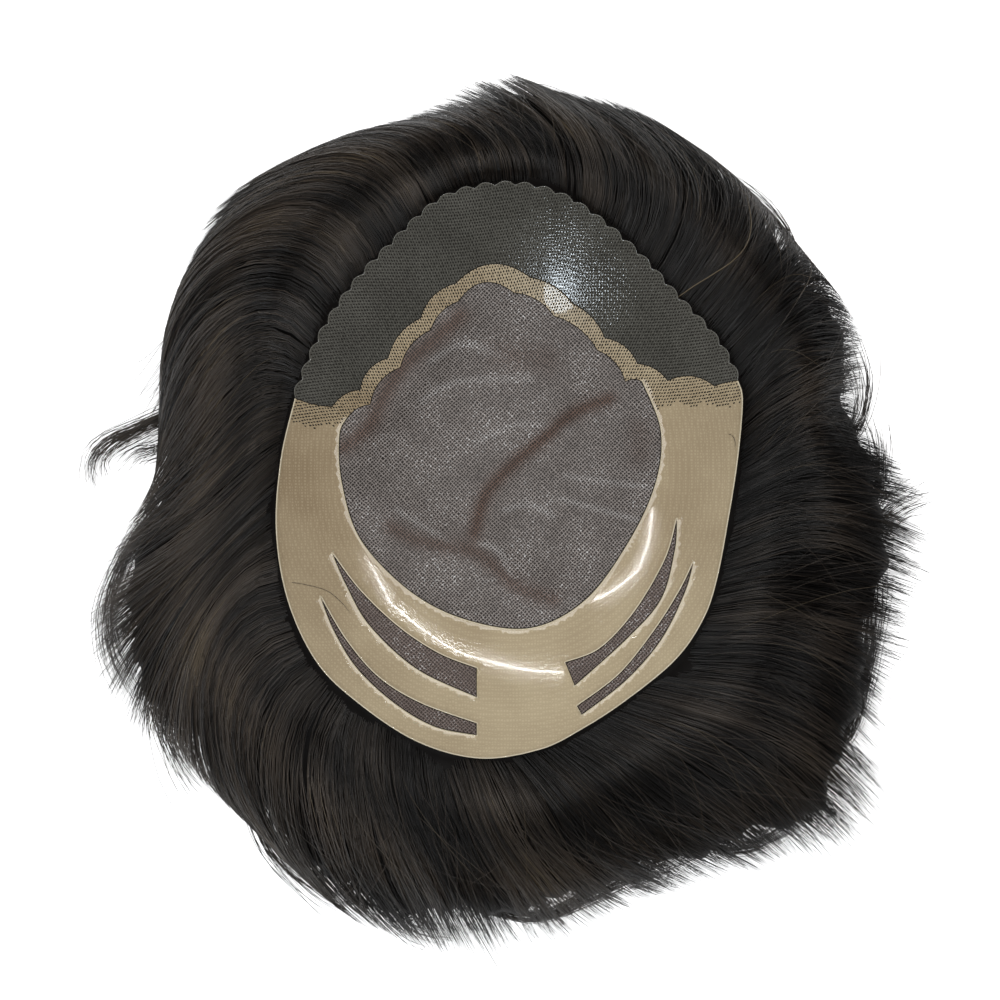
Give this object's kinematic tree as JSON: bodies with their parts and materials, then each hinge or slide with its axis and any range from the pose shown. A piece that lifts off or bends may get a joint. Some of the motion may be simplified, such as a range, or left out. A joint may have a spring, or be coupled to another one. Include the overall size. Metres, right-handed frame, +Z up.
{
  "type": "toupee hairpiece",
  "caption": "Men's hairpiece lying on its hair, base upwards: lace centre, scalloped thin-skin front, slotted poly ring and swept dark hair.",
  "frame": {"origin": "middle of the object's box on the surface that the hair lies on", "axes": "+X to the right and +Y to the front hairline, seen from above into the base's bowl; +Z up out of the bowl, away from the surface"},
  "size_m": [0.331, 0.3426, 0.0591],
  "materials": {
    "thin_skin": "glossy knotted film, grey-green over dark hair",
    "poly_coating": "glossy beige polyurethane over fine net",
    "mono_lace": "fine matt monofilament net",
    "hair": "smooth brown-black human hair"
  },
  "bodies": {
    "root": {"front_skin": "thin_skin", "poly_ring": "poly_coating", "lace_panel": "mono_lace", "inner_left_window": "mono_lace", "outer_left_window": "mono_lace", "inner_right_window": "mono_lace", "outer_right_window": "mono_lace", "crown_hair": "hair", "side_hair": "hair"}
  },
  "joints": []
}
